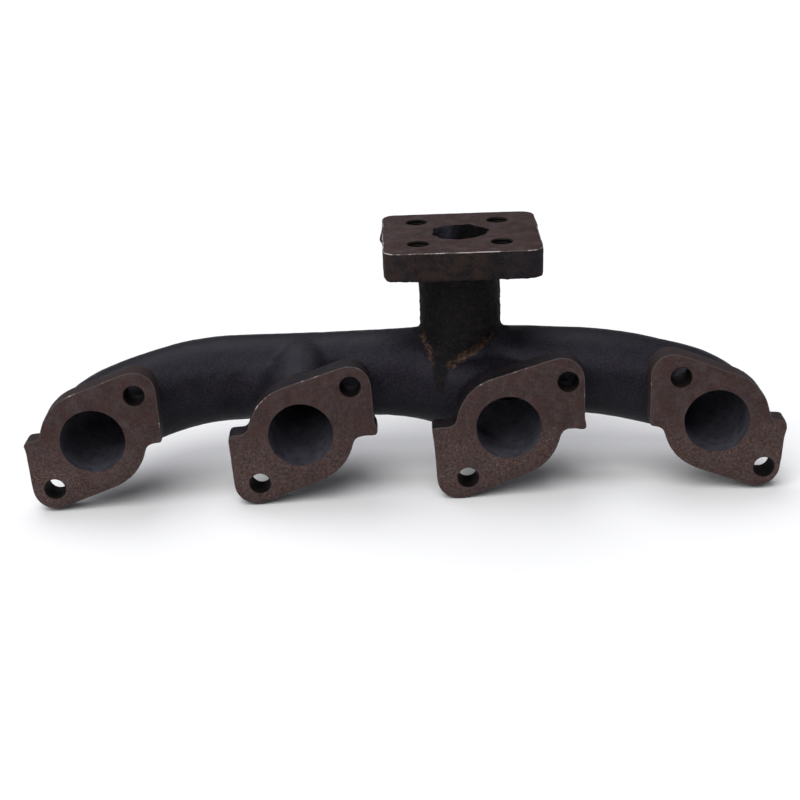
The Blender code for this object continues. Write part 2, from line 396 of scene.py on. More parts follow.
pattern_object = object_of("pattern", pattern)
fuse = pattern_object.modifiers.new("fuse", "REMESH")
fuse.mode = "VOXEL"
fuse.voxel_size = VOXEL
skin = settle(pattern_object)
bpy.data.objects.remove(pattern_object)
say("fused skin has faces", len(skin.faces))

# %% Round the corners and run in the fillets
CORNER_PASSES = 6
FILLET_PASSES = 16
BROAD_PASSES = 130
BROAD_REACH = 12         # rings of neighbours
HOLLOW = 0.06 * MM
RISER_REACH = 27 * MM    # from the riser's axis
FILLET_TOP = 27 * MM     # corners of the riser above it stay crisp
BEHIND_FLANGES = FLANGE_THICK + 5 * MM


def hollow(vert):
    """How far the neighbours of a vertex stand out past it, along its normal."""
    ring = [e.other_vert(vert).co for e in vert.link_edges]
    return (sum(ring, Vector()) / len(ring) - vert.co).dot(vert.normal)


def smooth(bm, verts, passes):
    """Move vertices halfway to the middle of their neighbours, over and over."""
    for _ in range(passes):
        bmesh.ops.smooth_vert(bm, verts=verts, factor=0.5, use_axis_x=True, use_axis_y=True,
                              use_axis_z=True)


bmesh.ops.recalc_face_normals(skin, faces=skin.faces[:])
smooth(skin, skin.verts[:], CORNER_PASSES)
skin.normal_update()


def by_riser(co):
    """Near the foot or the head of the riser, where the corners stay crisp."""
    from_axis = (co.xy - Vector((riser_at.x, LOG_SETBACK))).length
    return from_axis < RISER_REACH and co.z > FILLET_TOP


def by_log(co):
    """Left of the middle, behind the flanges: there runner 2 flows into the log."""
    return co.y > BEHIND_FLANGES and co.z < FILLET_TOP and co.x < 0


def widen(verts, rings):
    """A set of vertices with some rings of neighbours added."""
    for _ in range(rings):
        verts = verts | {e.other_vert(v) for v in verts for e in v.link_edges}
    return verts


corners = {v for v in skin.verts if hollow(v) > HOLLOW and not by_riser(v.co)}
fillets = widen(corners, 2)
smooth(skin, list(fillets), FILLET_PASSES)
broad = {v for v in widen({v for v in corners if by_log(v.co)}, BROAD_REACH) if by_log(v.co)}
smooth(skin, list(broad), BROAD_PASSES)
skin.normal_update()
say("vertices in fillets", len(fillets), "and in broad ones", len(broad))

# %% [markdown]
# ## The cast skin
# Most of the manifold was moulded in fine sand and is nearly smooth. The riser and a wedge of
# iron below it, down the front of the log, came from coarser sand and are rough, and rust has
# settled in the two creases along that wedge. Rims of the flanges have gone brown from hands and
# damp. Painting this by hand would take an image, so each vertex gets three marks instead, kept
# as attributes and worked out from its place: how rough the sand was, how much rust sits there
# and how brown it is. The same marks steer the grain now and the material later.

# %% The two creases
# Places along each crease from the top down, as (X, Z) in mm
LEFT_CREASE = ((5.5, 40), (7.5, 36), (10.7, 30), (12.7, 26), (13.7, 20), (14.5, 14), (15, 6))
RIGHT_CREASE = ((46, 35), (42, 33), (36, 29.4), (27.6, 25), (21.5, 20.7), (19.5, 16), (19, 6))
LOG_TOP = LOG_RISE + PIPE_RADIUS


def step(value, low, high):
    """0 below low, 1 above high, smooth between."""
    t = min(max((value - low) / (high - low), 0), 1)
    return t * t * (3 - 2 * t)


def crease_x(crease, z):
    """X of a crease at a height, both in mm."""
    for (x0, z0), (x1, z1) in zip(crease, crease[1:]):
        if z1 <= z <= z0:
            return x1 + (x0 - x1) * (z - z1) / (z0 - z1)
    return crease[0][0] if z > crease[0][1] else crease[-1][0]


def near_crease(crease, x, z):
    """Distance in mm to a crease, seen from the front."""
    best = 1e9
    here = Vector((x, z))
    for a, b in zip(crease, crease[1:]):
        a, b = Vector(a), Vector(b)
        along = b - a
        t = min(max((here - a).dot(along) / along.length_squared, 0), 1)
        best = min(best, (a + along * t - here).length)
    return best


say("wedge between the creases is wide at Z = 20 mm, in mm",
    crease_x(RIGHT_CREASE, 20) - crease_x(LEFT_CREASE, 20))


# %% Marks of rough sand, rust and brown
def marks(co):
    """(rough, rust, brown) of the skin at a point in metres. Steps and bands here are in mm."""
    x, y, z = co.x / MM, co.y / MM, co.z / MM
    from_riser = math.hypot(co.x - riser_at.x, co.y - LOG_SETBACK) / MM
    # Coarse sand: the riser, half as much on the turbo flange, and the wedge down the front
    if z > LOG_TOP / MM + 0.5:
        on_riser = step(z, 29, 34) if from_riser < 24 else step(z, 50, 60)
        top = step(z, 62, 68)
        rough = on_riser * (1 - 0.45 * top)
    else:
        rough = step(z, 29, 33) * step(24 - from_riser, 0, 3)
    front = step(38 - y, 0, 6)
    inside = min(x - crease_x(LEFT_CREASE, z), crease_x(RIGHT_CREASE, z) - x)
    rough = max(rough, step(inside, -1.0, 1.2) * front * step(z, 6, 15))
    # Rust: a band along each crease, which thins out up the riser and away to the right
    rust_left = step(3.0 - near_crease(LEFT_CREASE, x, z), 0, 2.6) * step(z, 17, 26) * 0.85
    rust_right = step(3.3 - near_crease(RIGHT_CREASE, x, z), 0, 2.7) * step(z, 17.5, 22)
    rust_right *= 1 - 0.7 * step(x, 36, 44)
    rust = max(rust_left * (1 - step(z, 33, 39)), rust_right) * step(42 - y, 0, 4)
    # Brown: the rims of the flanges, most on the left of the turbo flange and on the end ports
    turbo_side = 0.08 + 0.72 * step(riser_at.x / MM + 22 - x, 0, 18)
    port_side = 0.35 + 0.65 * step(abs(x), 90, 110)
    brown = max(step(15.5 - y, 0, 3) * port_side, step(z, 63.5, 65.5) * turbo_side)
    return rough, rust, brown


rough_mark = skin.verts.layers.float.new("rough")
rust_mark = skin.verts.layers.float.new("rust")
brown_mark = skin.verts.layers.float.new("brown")
for v in skin.verts:
    v[rough_mark], v[rust_mark], v[brown_mark] = marks(v.co)
say("rough vertices", sum(v[rough_mark] > 0.5 for v in skin.verts),
    "rusty vertices", sum(v[rust_mark] > 0.3 for v in skin.verts))

# %% Press the grain of the sand into the skin
FINE_DEPTH = 0.10 * MM
ROUGH_DEPTH = 0.34 * MM
WAVE_DEPTH = 0.22 * MM
CREASE_DEPTH = 0.5 * MM
FINE_SIZE, ROUGH_SIZE, WAVE_SIZE = 4 * MM, 2.6 * MM, 17 * MM
SWELL_HEIGHT = 1.0 * MM   # how much the log thickens under the riser
SWELL_REACH = 62 * MM


def sand(co, size, seed):
    """Layered noise of a grain size in metres, about -1 to 1."""
    return noise.fractal(co / size + Vector((seed, seed * 0.37, -seed)), 1.0, 2.0, 3)


moves = []
for v in skin.verts:
    grain = FINE_DEPTH * sand(v.co, FINE_SIZE, 3.1)
    coarse = ROUGH_DEPTH * v[rough_mark] * sand(v.co, ROUGH_SIZE, 11.7)
    wave = WAVE_DEPTH * noise.noise(v.co / WAVE_SIZE + Vector((5.2, 1.3, 9.4)))
    sunk = CREASE_DEPTH * v[rust_mark]
    swell = SWELL_HEIGHT * step(SWELL_REACH - abs(v.co.x - riser_at.x), 0, SWELL_REACH * 0.8)
    swell *= max(v.normal.z, 0) if v.co.z < LOG_TOP + 2 * MM else 0
    moves.append(v.normal * (grain + coarse + wave + swell - sunk))
for v, move in zip(skin.verts, moves):
    v.co += move
say("largest move in mm", max(m.length for m in moves) / MM)

# %% [markdown]
# ## Finishes as node groups
# Two effects appear on more than one surface: the grain that a sand mould leaves, and the thin
# rust that bare iron takes on. Each is a node group with named inputs, so that a material sets
# its own amounts. The groups give out only heights and masks; each material keeps its own shader.
# Small helpers keep the wiring short, so that a line of code reads as one step of the effect.

# %% Helpers for node groups
def group_node(tree, group, **values):
    """Place a node group in a tree and set its inputs."""
    node = tree.nodes.new("ShaderNodeGroup")
    node.node_tree = group
    for name, value in values.items():
        node.inputs[name.replace("_", " ")].default_value = value
    return node


def new_group(name, inputs, outputs):
    """An empty shader group. Returns it with its input and output nodes."""
    group = bpy.data.node_groups.new(name, "ShaderNodeTree")
    for label, default in inputs.items():
        socket = group.interface.new_socket(name=label, in_out="INPUT",
                                            socket_type="NodeSocketFloat")
        socket.default_value = default
    for label in outputs:
        group.interface.new_socket(name=label, in_out="OUTPUT", socket_type="NodeSocketFloat")
    return group, group.nodes.new("NodeGroupInput"), group.nodes.new("NodeGroupOutput")


# %% Helpers for places and noise
def own_place(tree):
    """A place on the object, in its own coordinates."""
    return tree.nodes.new("ShaderNodeTexCoord").outputs["Object"]


def axes(tree, place):
    """The X, Y and Z of a place, each as a socket of its own."""
    node = tree.nodes.new("ShaderNodeSeparateXYZ")
    tree.links.new(place, node.inputs[0])
    return node.outputs


def noise_at(tree, coordinates, scale, detail=4.0, roughness=0.55):
    """Noise that reads the object's own coordinates. The scale is in repeats per metre."""
    node = tree.nodes.new("ShaderNodeTexNoise")
    node.inputs["Detail"].default_value = detail
    node.inputs["Roughness"].default_value = roughness
    if isinstance(scale, (int, float)):
        node.inputs["Scale"].default_value = scale
    else:
        tree.links.new(scale, node.inputs["Scale"])
    tree.links.new(coordinates, node.inputs["Vector"])
    return node.outputs["Fac"]


# %% Helpers for sums, ramps and blends
def maths(tree, operation, a, b=0.5, clamp=False):
    """A Math node between two sockets or numbers."""
    node = tree.nodes.new("ShaderNodeMath")
    node.operation = operation
    node.use_clamp = clamp
    for slot, value in zip(node.inputs, (a, b)):
        if isinstance(value, (int, float)):
            slot.default_value = value
        else:
            tree.links.new(value, slot)
    return node.outputs[0]


def ramp(tree, value, low, high, to_low=0.0, to_high=1.0):
    """Spread a value smoothly between two limits."""
    node = tree.nodes.new("ShaderNodeMapRange")
    node.interpolation_type = "SMOOTHSTEP"
    for label, number in (("From Min", low), ("From Max", high), ("To Min", to_low),
                          ("To Max", to_high)):
        if isinstance(number, (int, float)):
            node.inputs[label].default_value = number
        else:
            tree.links.new(number, node.inputs[label])
    tree.links.new(value, node.inputs["Value"])
    return node.outputs["Result"]


def blend(tree, amount, a, b):
    """Mix two colours, each a socket or three numbers, by a mask."""
    node = tree.nodes.new("ShaderNodeMix")
    node.data_type = "RGBA"
    colour_a, colour_b = node.inputs[6], node.inputs[7]
    for slot, value in ((colour_a, a), (colour_b, b)):
        if isinstance(value, tuple):
            slot.default_value = (*value, 1)
        else:
            tree.links.new(value, slot)
    tree.links.new(amount, node.inputs[0])
    return node.outputs[2]


# %% The grain of a sand mould
sand_grain, into, out = new_group("sand_grain", {"Grain size": 1.0, "Coarse": 0.0},
                                  ("Height", "Pits", "Glint specks"))
MM_PER_METRE = 1000.0   # turns a size in mm into repeats per metre
place = own_place(sand_grain)
per_grain = maths(sand_grain, "DIVIDE", MM_PER_METRE, into.outputs["Grain size"])
fine = noise_at(sand_grain, place, per_grain, detail=3.0, roughness=0.6)
lump_scale = maths(sand_grain, "MULTIPLY", per_grain, 0.42)
lumps = noise_at(sand_grain, place, lump_scale, detail=3.0, roughness=0.65)
heavier = ramp(sand_grain, into.outputs["Coarse"], 0.0, 1.0, 0.25, 1.0)
height = maths(sand_grain, "ADD", maths(sand_grain, "MULTIPLY", fine, 0.5),
               maths(sand_grain, "MULTIPLY", lumps, heavier))
cells = sand_grain.nodes.new("ShaderNodeTexVoronoi")
sand_grain.links.new(place, cells.inputs["Vector"])
sand_grain.links.new(maths(sand_grain, "MULTIPLY", per_grain, 0.8), cells.inputs["Scale"])
pits = ramp(sand_grain, lumps, 0.44, 0.34)
# This mask marks the points where the cast skin paints tiny glints of the grain.
glint_specks = maths(sand_grain, "MULTIPLY", ramp(sand_grain, cells.outputs["Distance"], 0.34, 0.16),
               ramp(sand_grain, fine, 0.50, 0.61))
for value, label in ((height, "Height"), (pits, "Pits"), (glint_specks, "Glint specks")):
    sand_grain.links.new(value, out.inputs[label])
say("node group with nodes", len(sand_grain.nodes))

# %% The rust of bare iron
rust_bloom, into, out = new_group("rust_bloom", {"Patch size": 12.0, "Amount": 0.5},
                                  ("Bloom", "Freckles"))
place = own_place(rust_bloom)
per_patch = maths(rust_bloom, "DIVIDE", MM_PER_METRE, into.outputs["Patch size"])
patches = noise_at(rust_bloom, place, per_patch, detail=5.0, roughness=0.62)
edge = maths(rust_bloom, "SUBTRACT", 1.0, into.outputs["Amount"])
middle_value = maths(rust_bloom, "MULTIPLY", edge, 0.5)
bloom = ramp(rust_bloom, patches, maths(rust_bloom, "ADD", middle_value, 0.16),
             maths(rust_bloom, "ADD", middle_value, 0.36))
dots = noise_at(rust_bloom, place, 900.0, detail=2.0, roughness=0.7)
near = noise_at(rust_bloom, place, maths(rust_bloom, "MULTIPLY", per_patch, 0.6), detail=2.0)
freckles = maths(rust_bloom, "MULTIPLY", ramp(rust_bloom, dots, 0.56, 0.68),
                 ramp(rust_bloom, near, 0.46, 0.62))
rust_bloom.links.new(bloom, out.inputs["Bloom"])
rust_bloom.links.new(freckles, out.inputs["Freckles"])
say("node group with nodes", len(rust_bloom.nodes))

# %% [markdown]
# ## The materials
# Heat and a dip of oil leave the cast skin near black with a blue cast, satin where the sand was
# fine. The joint faces were cut to bright metal and have since gone an even brown, with paler
# freckles low down. Their rims are rubbed bright in places, and a painted highlight runs along
# their upper edges. The core leaves a smoother, bluish skin in the ports, and the drilled holes
# are painted near black for the shade inside them.

# %% A material with its shader
FINISHES = []


def finish(name, roughness, metallic, specular):
    """A new material in the casting's list. Returns it with its tree and shader."""
    material = bpy.data.materials.new(name)
    material.use_nodes = True
    tree = material.node_tree
    shader = tree.nodes["Principled BSDF"]
    shader.inputs["Roughness"].default_value = roughness
    shader.inputs["Metallic"].default_value = metallic
    shader.inputs["Specular IOR Level"].default_value = specular
    FINISHES.append(material)
    say("material", name)
    return tree, shader


def relief(tree, shader, height, depth_mm):
    """Let a height stand out of the surface by a depth in mm."""
    bump = tree.nodes.new("ShaderNodeBump")
    bump.inputs["Strength"].default_value = 1.0
    bump.inputs["Distance"].default_value = depth_mm * MM
    tree.links.new(height, bump.inputs["Height"])
    tree.links.new(bump.outputs["Normal"], shader.inputs["Normal"])


def mark_node(tree, name):
    """One of the skin's marks, as a socket."""
    node = tree.nodes.new("ShaderNodeAttribute")
    node.attribute_name = name
    return node.outputs["Fac"]


# %% Cast skin: smooth and sandy iron
tree, shader = finish("cast_skin", 0.5, 0.0, 0.16)
shader.inputs["Specular Tint"].default_value = (0.88, 0.84, 1.0, 1)
place = own_place(tree)
rough, rust, brown = (mark_node(tree, name) for name in ("rough", "rust", "brown"))
grain = group_node(tree, sand_grain, Grain_size=0.8)
tree.links.new(rough, grain.inputs["Coarse"])
mottle = ramp(tree, noise_at(tree, place, 55.0, 6.0, 0.65), 0.33, 0.68)
salt = ramp(tree, noise_at(tree, place, 1100.0, 3.0, 0.7), 0.38, 0.66)
dark_blue = blend(tree, salt, (0.0028, 0.0025, 0.0038), (0.0100, 0.0089, 0.0128))
pale_blue = blend(tree, salt, (0.0055, 0.0048, 0.0072), (0.0175, 0.0157, 0.0215))
smooth_colour = blend(tree, mottle, dark_blue, pale_blue)
sandy_colour = blend(tree, grain.outputs["Pits"], (0.0062, 0.0057, 0.0056),
                     (0.0016, 0.0016, 0.0017))
base = blend(tree, rough, smooth_colour, sandy_colour)
say("marks in use", "rough, rust, brown")

# %% Cast skin: brown rims, dust, painted glints and rusty creases
handled = group_node(tree, rust_bloom, Patch_size=5.5, Amount=0.55)
brown_colour = blend(tree, handled.outputs["Bloom"], (0.0052, 0.0043, 0.0052),
                     (0.0250, 0.0140, 0.0108))
brown_colour = blend(tree, maths(tree, "MULTIPLY", salt, 0.30), brown_colour,
                     (0.0360, 0.0250, 0.0200))
brown_colour = blend(tree, ramp(tree, brown, 0.78, 1.0, 0.0, 0.75), brown_colour,
                     (0.0310, 0.0205, 0.0195))
base = blend(tree, brown, base, brown_colour)
bloom = group_node(tree, rust_bloom, Patch_size=4.5, Amount=0.36)
dust = maths(tree, "MULTIPLY", rough, bloom.outputs["Bloom"])
base = blend(tree, maths(tree, "MULTIPLY", dust, 0.30), base, (0.030, 0.019, 0.012))
# Painted highlight: pale specks on the grain stand in for glints, most of them on the sandy
# riser.
glint_specks = maths(tree, "MULTIPLY", maths(tree, "ADD", maths(tree, "MULTIPLY", rough, 0.65), 0.14),
               grain.outputs["Glint specks"])
base = blend(tree, glint_specks, base, (0.050, 0.046, 0.042))
broken = ramp(tree, noise_at(tree, place, 520.0, 5.0, 0.75), 0.36, 0.64)
crust = ramp(tree, maths(tree, "MULTIPLY", rust, broken), 0.08, 0.75)
crust_colour = blend(tree, salt, (0.034, 0.0165, 0.0095), (0.120, 0.060, 0.034))
base = blend(tree, maths(tree, "MULTIPLY", crust, 0.85), base, crust_colour)
tree.links.new(base, shader.inputs["Base Color"])
say("colour is built from nodes", len(tree.nodes))

# %% Cast skin: gloss and grain
satin = ramp(tree, mottle, 0.0, 1.0, 0.44, 0.54)
matt = ramp(tree, maths(tree, "MAXIMUM", rough, maths(tree, "MULTIPLY", brown, 0.6)), 0.0, 1.0,
            satin, 0.80)
tree.links.new(matt, shader.inputs["Roughness"])
deep = ramp(tree, rough, 0.0, 1.0, 0.42, 1.0)
relief(tree, shader, maths(tree, "MULTIPLY", grain.outputs["Height"], deep), 0.60)
say("cast skin has nodes", len(tree.nodes))

# %% Machined joint face
tree, shader = finish("machined_face", 0.62, 0.0, 0.10)
place = own_place(tree)
bloom = group_node(tree, rust_bloom, Patch_size=7.0, Amount=0.52)
stain = ramp(tree, noise_at(tree, place, 150.0, 8.0, 0.80), 0.34, 0.66)
salt = ramp(tree, noise_at(tree, place, 800.0, 4.0, 0.80), 0.38, 0.64)
base = blend(tree, stain, (0.0285, 0.0180, 0.0185), (0.0600, 0.0410, 0.0415))
base = blend(tree, maths(tree, "MULTIPLY", bloom.outputs["Bloom"], 0.60), base,
             (0.039, 0.0175, 0.0145))
height = axes(tree, place)["Z"]
low_down = ramp(tree, height, 8 * MM, -16 * MM, 0.22, 1.0)
on_ports = ramp(tree, height, 60 * MM, 50 * MM)
mix_in = maths(tree, "MULTIPLY", maths(tree, "MULTIPLY", salt, low_down),
               ramp(tree, on_ports, 0.0, 1.0, 0.5, 1.0))
base = blend(tree, maths(tree, "MULTIPLY", mix_in, 0.55), base, (0.125, 0.085, 0.074))
freckles = maths(tree, "MULTIPLY", maths(tree, "MULTIPLY", bloom.outputs["Freckles"], low_down),
                 on_ports)
base = blend(tree, maths(tree, "MULTIPLY", freckles, 0.70), base, (0.200, 0.135, 0.105))
pores = ramp(tree, noise_at(tree, place, 1300.0, 2.0, 0.6), 0.40, 0.30)
base = blend(tree, maths(tree, "MULTIPLY", pores, 0.55), base, (0.016, 0.0095, 0.009))
tree.links.new(base, shader.inputs["Base Color"])
tree.links.new(ramp(tree, stain, 0.0, 1.0, 0.72, 0.58), shader.inputs["Roughness"])
relief(tree, shader, maths(tree, "ADD", noise_at(tree, place, 700.0, 4.0, 0.65),
                           maths(tree, "MULTIPLY", pores, -1.0)), 0.07)

# %% Rubbed rim of a joint face, with a painted highlight on its upper edges
tree, shader = finish("rubbed_rim_highlight", 0.42, 0.0, 0.4)
place = own_place(tree)
height = axes(tree, place)["Z"]
# Painted highlight: the pale rubbed colour is pushed towards the upper edges and the turbo
# flange, where the light falls. The noise gives the real wear.
lit_upper_edge = ramp(tree, height, 0.0, 14 * MM, -0.14, 0.0)
lit_turbo_edge = ramp(tree, height, 55 * MM, 60 * MM, 0.0, 0.09)
wear_and_highlight = maths(tree, "ADD", noise_at(tree, place, 85.0, 6.0, 0.75),
             maths(tree, "ADD", lit_upper_edge, lit_turbo_edge))
rubbed_and_highlight = ramp(tree, wear_and_highlight, 0.54, 0.65)
base = blend(tree, rubbed_and_highlight, (0.046, 0.031, 0.030), (0.36, 0.31, 0.30))
tree.links.new(base, shader.inputs["Base Color"])
tree.links.new(ramp(tree, rubbed_and_highlight, 0.0, 1.0, 0.62, 0.38), shader.inputs["Roughness"])
relief(tree, shader, noise_at(tree, place, 900.0, 3.0, 0.6), 0.05)

# %% Skin of the gas passage
tree, shader = finish("core_skin", 0.62, 0.0, 0.22)
shader.inputs["Specular Tint"].default_value = (0.93, 0.90, 1.0, 1)
place = own_place(tree)
grain = group_node(tree, sand_grain, Grain_size=1.3, Coarse=0.5)
cloud = ramp(tree, noise_at(tree, place, 80.0, 6.0, 0.65), 0.32, 0.70)
base = blend(tree, cloud, (0.040, 0.039, 0.050), (0.068, 0.067, 0.083))
base = blend(tree, maths(tree, "MULTIPLY", grain.outputs["Pits"], 0.5), base,
             (0.013, 0.013, 0.014))
along = axes(tree, place)
# Darker from 22 to 40 mm up the passage, most of all right of the riser's axis.
darker_up_the_riser = ramp(tree, along["Z"], 22 * MM, 40 * MM)
sides = ramp(tree, along["X"], riser_at.x - 7 * MM, riser_at.x + 2 * MM, 0.15, 1.0)
base = blend(tree, maths(tree, "MULTIPLY", darker_up_the_riser, sides), base, (0.0045, 0.0038, 0.0038))
tree.links.new(base, shader.inputs["Base Color"])
relief(tree, shader, grain.outputs["Height"], 0.30)

# %% Wall of a drilled hole, painted near black for the shade inside it
tree, shader = finish("drilled_wall_shade", 0.75, 0.0, 0.12)
place = own_place(tree)
stain = ramp(tree, noise_at(tree, place, 240.0, 4.0, 0.6), 0.35, 0.65)
# Painted shade: both colours are near black, so the hole looks shaded inside. The noise between
# them is stain.
base = blend(tree, stain, (0.0030, 0.0022, 0.0021), (0.0120, 0.0080, 0.0066))
tree.links.new(base, shader.inputs["Base Color"])
relief(tree, shader, noise_at(tree, place, 1500.0, 2.0, 0.5), 0.05)

# Their places in the list. The skin has the first one, as every new face does.
SKIN, FACE, RIM, CORE, DRILLED = range(len(FINISHES))
say("materials", len(FINISHES), "of which the skin has number", SKIN)

# %% [markdown]
# ## Facing
# A milling cutter takes the allowance off the four port flanges in one pass and off the turbo
# flange in another. Cutting the skin with a plane and filling the cut does the same. A bevel
# would have to follow the cut's uneven edge, so each new face is inset by 0.4 mm and its rim
# sunk by 0.3 mm instead. That gives the small broken edge that catches the light.

# %% Face the joints
RIM_WIDTH = 0.42 * MM
RIM_DROP = 0.30 * MM
ON_PLANE = 0.001 * MM


def face_off(bm, place, outward):
    """Cut the skin flat at a plane and break the rim of each new face. Returns the faces."""
    cut = bmesh.ops.bisect_plane(bm, geom=bm.verts[:] + bm.edges[:] + bm.faces[:],
                                 dist=ON_PLANE, plane_co=place, plane_no=outward,
                                 clear_outer=True)
    rim_edges = [g for g in cut["geom_cut"] if isinstance(g, bmesh.types.BMEdge)]
    filled = bmesh.ops.edgeloop_fill(bm, edges=rim_edges, mat_nr=FACE, use_smooth=False)["faces"]
    rims = bmesh.ops.inset_individual(bm, faces=filled, thickness=RIM_WIDTH, depth=0,
                                      use_even_offset=True)["faces"]
    for face in rims:
        face.material_index = RIM
    outer = {v for e in rim_edges for v in e.verts}
    bmesh.ops.translate(bm, verts=list(outer), vec=-outward * RIM_DROP)
    return filled


port_faces = face_off(skin, Vector((0, 0, 0)), Vector((0, -1, 0)))
turbo_faces = face_off(skin, Vector((0, 0, turbo_top)), Vector((0, 0, 1)))
for face in port_faces + turbo_faces:
    say("joint face in square mm", face.calc_area() / MM ** 2)
casting = object_of("casting", skin)
for material in FINISHES:
    casting.data.materials.append(material)

# %% [markdown]
# ## The core
# The gas passage is what the sand core leaves behind, so it is cut out with pipes along the same
# routes as the runners. Their fronts stand out past the joint, so the cut goes right through.
# The riser's core was worn where it met the turbo flange, which left the outlet's edge ragged.
# Each cutter takes its own material along, and the walls that it leaves get that material.

# %% Pipes of the sand core
CORE_RADIUS = PORT_BORE / 2
CORE_SIDES = 56
CORE_WAVE = 0.25 * MM


def cutter(name, bm, finish_index):
    """A finished cutting shape, with all of its faces in one material."""
    bmesh.ops.recalc_face_normals(bm, faces=bm.faces[:])
    for face in bm.faces:
        face.material_index = finish_index
        face.smooth = True
    obj = object_of(name, bm)
    for material in FINISHES:
        obj.data.materials.append(material)
    return obj


def core_pipe(name, route):
    """A cutter along a route, with a slightly wavy wall."""
    bm = bmesh.new()
    sweep_pipe(bm, route, CORE_RADIUS, CORE_SIDES)
    bm.normal_update()
    for v in bm.verts:
        v.co += v.normal * CORE_WAVE * noise.noise(v.co / (9 * MM))
    return cutter(name, bm, CORE)


cores = [core_pipe("core_log", log_route(CORE_START)),
         core_pipe("core_runner_2", runner_route(2, 0, CORE_START)),
         core_pipe("core_runner_3", runner_route(3, RUNNER_3_TURN, CORE_START))]
say("core pipes", len(cores))

# %% The riser's core
OUTLET_STEPS, OUTLET_SIDES = 40, 72
OVERSHOOT = 3 * MM      # how far a cutter stands out past a face
RAGGED_DEPTH = 1.9 * MM
RAGGED_FROM = 14 * MM   # below the turbo face
LUMP_DEPTH = 1.7 * MM   # of iron left standing at the back of the outlet


def outlet_core():
    """The riser's core, crumbled near its top."""
    height = turbo_top + OVERSHOOT - LOG_RISE
    route = [Vector((riser_at.x, LOG_SETBACK, LOG_RISE + height * i / OUTLET_STEPS))
             for i in range(OUTLET_STEPS + 1)]
    bm = bmesh.new()
    rings = sweep_pipe(bm, route, RISER_BORE / 2, OUTLET_SIDES)
    axis = Vector((riser_at.x, LOG_SETBACK))
    for ring in rings:
        for v in ring:
            out_dir = (v.co.xy - axis).normalized()
            worn = step(v.co.z, turbo_top - RAGGED_FROM, turbo_top)
            crumbs = noise.fractal(v.co / (6.5 * MM) + Vector((2.2, 7.9, 0.4)), 1.0, 2.3, 3)
            lump = LUMP_DEPTH * step(out_dir.y, 0.90, 0.99) * worn
            shift = CORE_WAVE * noise.noise(v.co / (8 * MM)) + RAGGED_DEPTH * worn * crumbs - lump
            v.co += out_dir.to_3d() * shift
    return cutter("core_riser", bm, CORE)


cores.append(outlet_core())
say("cores with the riser's", len(cores))

# %% [markdown]
# ## Stud holes
# The port flanges slip over studs in the cylinder head, so their holes are plain, with the edge
# broken at the joint face. The turbo flange holds its studs, so its holes are threaded. A thread
# is really a helix, but in a hole this small a stack of rings looks the same, and a closed
# profile spun about the hole's axis cuts cleanly.

# %% Drills for the studs
STUD_HOLE = 9 * MM
HOLE_EDGE = 0.35 * MM
THREAD_PITCH = 1.5 * MM
THREAD_DEPTH = 0.55 * MM


def revolve(bm, profile, centre, axis, steps=56):
    """Spin a profile of (radius, distance along the axis) points into a closed solid."""
    side = Vector((1, 0, 0))
    verts = [bm.verts.new(centre + side * r + axis * d) for r, d in profile]
    edges = [bm.edges.new(pair) for pair in zip(verts, verts[1:])]
    bmesh.ops.spin(bm, geom=verts + edges, cent=centre, axis=axis, angle=math.tau, steps=steps,
                   use_merge=True)
    bmesh.ops.remove_doubles(bm, verts=bm.verts[:], dist=0.002 * MM)


def port_drill(bm, room):
    """A through drill with a small countersink at the joint face."""
    at = middle(room)
    centre = Vector((at.x, 0, at.z))
    r = STUD_HOLE / 2
    end = FLANGE_THICK + OVERSHOOT
    revolve(bm, ((0, -OVERSHOOT), (r + HOLE_EDGE + OVERSHOOT, -OVERSHOOT), (r, HOLE_EDGE),
                 (r, end), (0, end)), centre, Vector((0, 1, 0)))


def tap(bm, room):
    """A tap: a drill with thread rings, which widens at the turbo face."""
    at = middle(room)
    centre = Vector((at.x, at.y, turbo_top))
    r = STUD_HOLE / 2
    profile = [(0, OVERSHOOT), (r + THREAD_DEPTH + OVERSHOOT, OVERSHOOT), (r, -THREAD_DEPTH)]
    depth = THREAD_DEPTH + 0.2 * MM
    while depth < TURBO_THICK:
        profile += [(r, -depth), (r + THREAD_DEPTH, -depth - THREAD_PITCH * 0.45),
                    (r, -depth - THREAD_PITCH * 0.9)]
        depth += THREAD_PITCH
    end = -TURBO_THICK - OVERSHOOT
    profile += [(r, end), (0, end)]
    revolve(bm, profile, centre, Vector((0, 0, 1)))


drills = bmesh.new()
for port in PORTS:
    for level in ("upper", "lower"):
        port_drill(drills, f"bolt_{level}_{port}")
for number in range(1, 5):
    tap(drills, f"turbo_stud_{number}")
drills_object = cutter("drills", drills, DRILLED)
say("drills have faces", len(drills_object.data.polygons))

# %% [markdown]
# ## Boring and drilling
# Each cutter is taken away from the casting by a Boolean. The skin and the cutters are closed, so
# the manifold solver can be used, which keeps the result closed too. Where walls almost meet it
# can still leave needles and doubled faces of no thickness. These are welded and removed, so
# that the mesh is one clean shell that could be printed or cast again.

# %% Cut the casting
for tool in cores + [drills_object]:
    cut = casting.modifiers.new(tool.name, "BOOLEAN")
    cut.operation = "DIFFERENCE"
    cut.object = tool
    cut.solver = "MANIFOLD"
body = settle(casting)
casting.modifiers.clear()
say("casting has faces after the cuts", len(body.faces))

